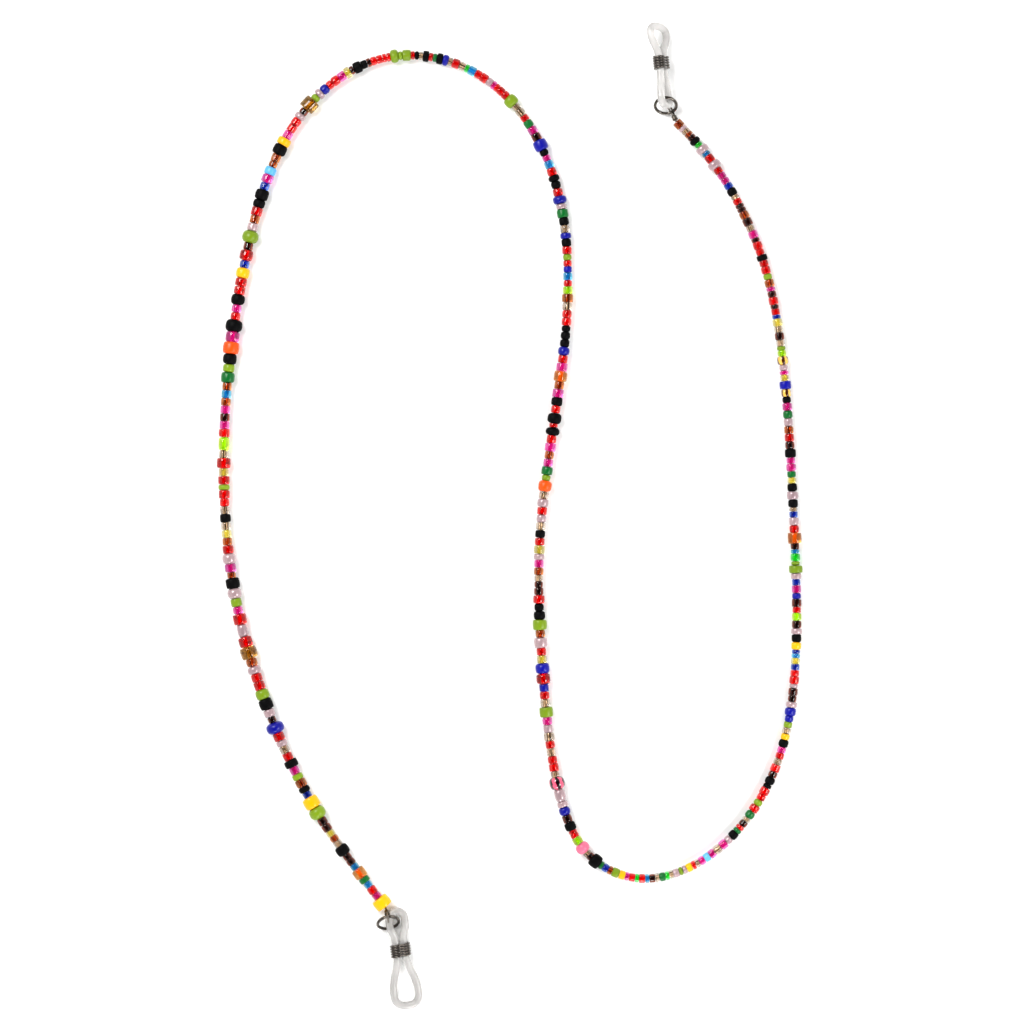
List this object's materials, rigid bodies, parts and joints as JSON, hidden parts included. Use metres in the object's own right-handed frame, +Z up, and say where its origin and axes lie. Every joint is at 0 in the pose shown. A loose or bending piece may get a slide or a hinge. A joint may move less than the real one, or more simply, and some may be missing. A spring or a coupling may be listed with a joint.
{
  "type": "eyeglass retainer strap",
  "caption": "Beaded eyeglass chain: multicoloured glass seed beads on a coated steel wire, with a jump ring, clear silicone temple loop and spring slider at each end.",
  "frame": {"origin": "on the table, under the middle of the chain's bounding box as it lies", "axes": "+Z up from the table; +Y along the S's long way, towards the end with fittings a; +X to the right seen from above"},
  "size_m": [0.1464, 0.2465, 0.0074],
  "materials": {
    "beads_black": "opaque black glass, matte",
    "beads_olive": "opaque olive glass, glossy",
    "beads_green": "opaque dark green glass, glossy",
    "beads_navy": "opaque navy glass, glossy",
    "beads_yellow": "opaque warm yellow glass, glossy",
    "beads_orange": "opaque orange glass, glossy",
    "beads_mauve_pearl": "pearl mauve glass",
    "beads_rose": "opaque rose glass, glossy",
    "beads_sky": "opaque pale blue glass, glossy",
    "beads_red_lustre": "transparent red glass with a lustre, silver lined",
    "beads_magenta_lined": "clear glass lined with magenta",
    "beads_root_beer": "transparent brown glass, lined",
    "beads_amber_gold": "amber glass, gold lined",
    "beads_silver_lined": "clear glass, silver lined",
    "beads_lemon_lined": "clear glass lined with pale yellow",
    "beads_chartreuse_lined": "clear glass lined with chartreuse",
    "beads_neon_green_lined": "clear glass lined with neon green",
    "beads_turquoise_lined": "clear glass lined with turquoise",
    "beads_sapphire_lined": "clear glass lined with sapphire blue",
    "beads_sunshine_lined": "clear glass with an orange core",
    "beads_gold_striped": "gold glass with dark stripes",
    "beads_pink_striped": "pink glass with black stripes",
    "beads_honey_clear": "transparent honey glass",
    "coated_wire": "stranded steel beading wire in clear nylon",
    "crimp_metal": "plated crimp tube, squeezed",
    "gunmetal": "polished gunmetal plating",
    "clear_silicone": "clear silicone, smooth"
  },
  "bodies": {
    "strand": {"beading_wire": "coated_wire", "crimp_a": "crimp_metal", "crimp_b": "crimp_metal", "beads_black": "beads_black", "beads_olive": "beads_olive", "beads_green": "beads_green", "beads_navy": "beads_navy", "beads_yellow": "beads_yellow", "beads_orange": "beads_orange", "beads_mauve_pearl": "beads_mauve_pearl", "beads_rose": "beads_rose", "beads_sky": "beads_sky", "beads_red_lustre": "beads_red_lustre", "beads_magenta_lined": "beads_magenta_lined", "beads_root_beer": "beads_root_beer", "beads_amber_gold": "beads_amber_gold", "beads_silver_lined": "beads_silver_lined", "beads_lemon_lined": "beads_lemon_lined", "beads_chartreuse_lined": "beads_chartreuse_lined", "beads_neon_green_lined": "beads_neon_green_lined", "beads_turquoise_lined": "beads_turquoise_lined", "beads_sapphire_lined": "beads_sapphire_lined", "beads_sunshine_lined": "beads_sunshine_lined", "beads_gold_striped": "beads_gold_striped", "beads_pink_striped": "beads_pink_striped", "beads_honey_clear": "beads_honey_clear"},
    "ring_a": {"jump_ring_a": "gunmetal"},
    "loop_a": {"silicone_loop_a": "clear_silicone"},
    "slider_a": {"spring_slider_a": "gunmetal"},
    "ring_b": {"jump_ring_b": "gunmetal"},
    "loop_b": {"silicone_loop_b": "clear_silicone"},
    "slider_b": {"spring_slider_b": "gunmetal"}
  },
  "joints": [
    {"name": "ring_a_swing", "type": "hinge", "parent": "strand", "child": "ring_a", "pos_m": [0.0402, 0.10093, 0.00119], "axis": [0.8013, 0.368, 0.4716], "range_deg": [-30, 30]},
    {"name": "loop_a_swing", "type": "hinge", "parent": "ring_a", "child": "loop_a", "pos_m": [0.0383, 0.10403, 0.0048], "axis": [-0.9928, -0.0548, -0.1066], "range_deg": [-30, 60]},
    {"name": "slider_a_slide", "type": "slide", "parent": "loop_a", "child": "slider_a", "axis": [-0.0973, 0.9918, -0.0823], "range_m": [-0.001, 0.0003]},
    {"name": "ring_b_swing", "type": "hinge", "parent": "strand", "child": "ring_b", "pos_m": [-0.03071, -0.09994, 0.00446], "axis": [-0.9825, -0.1528, 0.1066], "range_deg": [0, 35]},
    {"name": "loop_b_swing", "type": "hinge", "parent": "ring_b", "child": "loop_b", "pos_m": [-0.02842, -0.10223, 0.00114], "axis": [0.5046, 0.6333, 0.5868], "range_deg": [-25, 3]},
    {"name": "slider_b_slide", "type": "slide", "parent": "loop_b", "child": "slider_b", "axis": [0.1253, -0.9921, -0.0085], "range_m": [-0.001, 0.0003]}
  ]
}
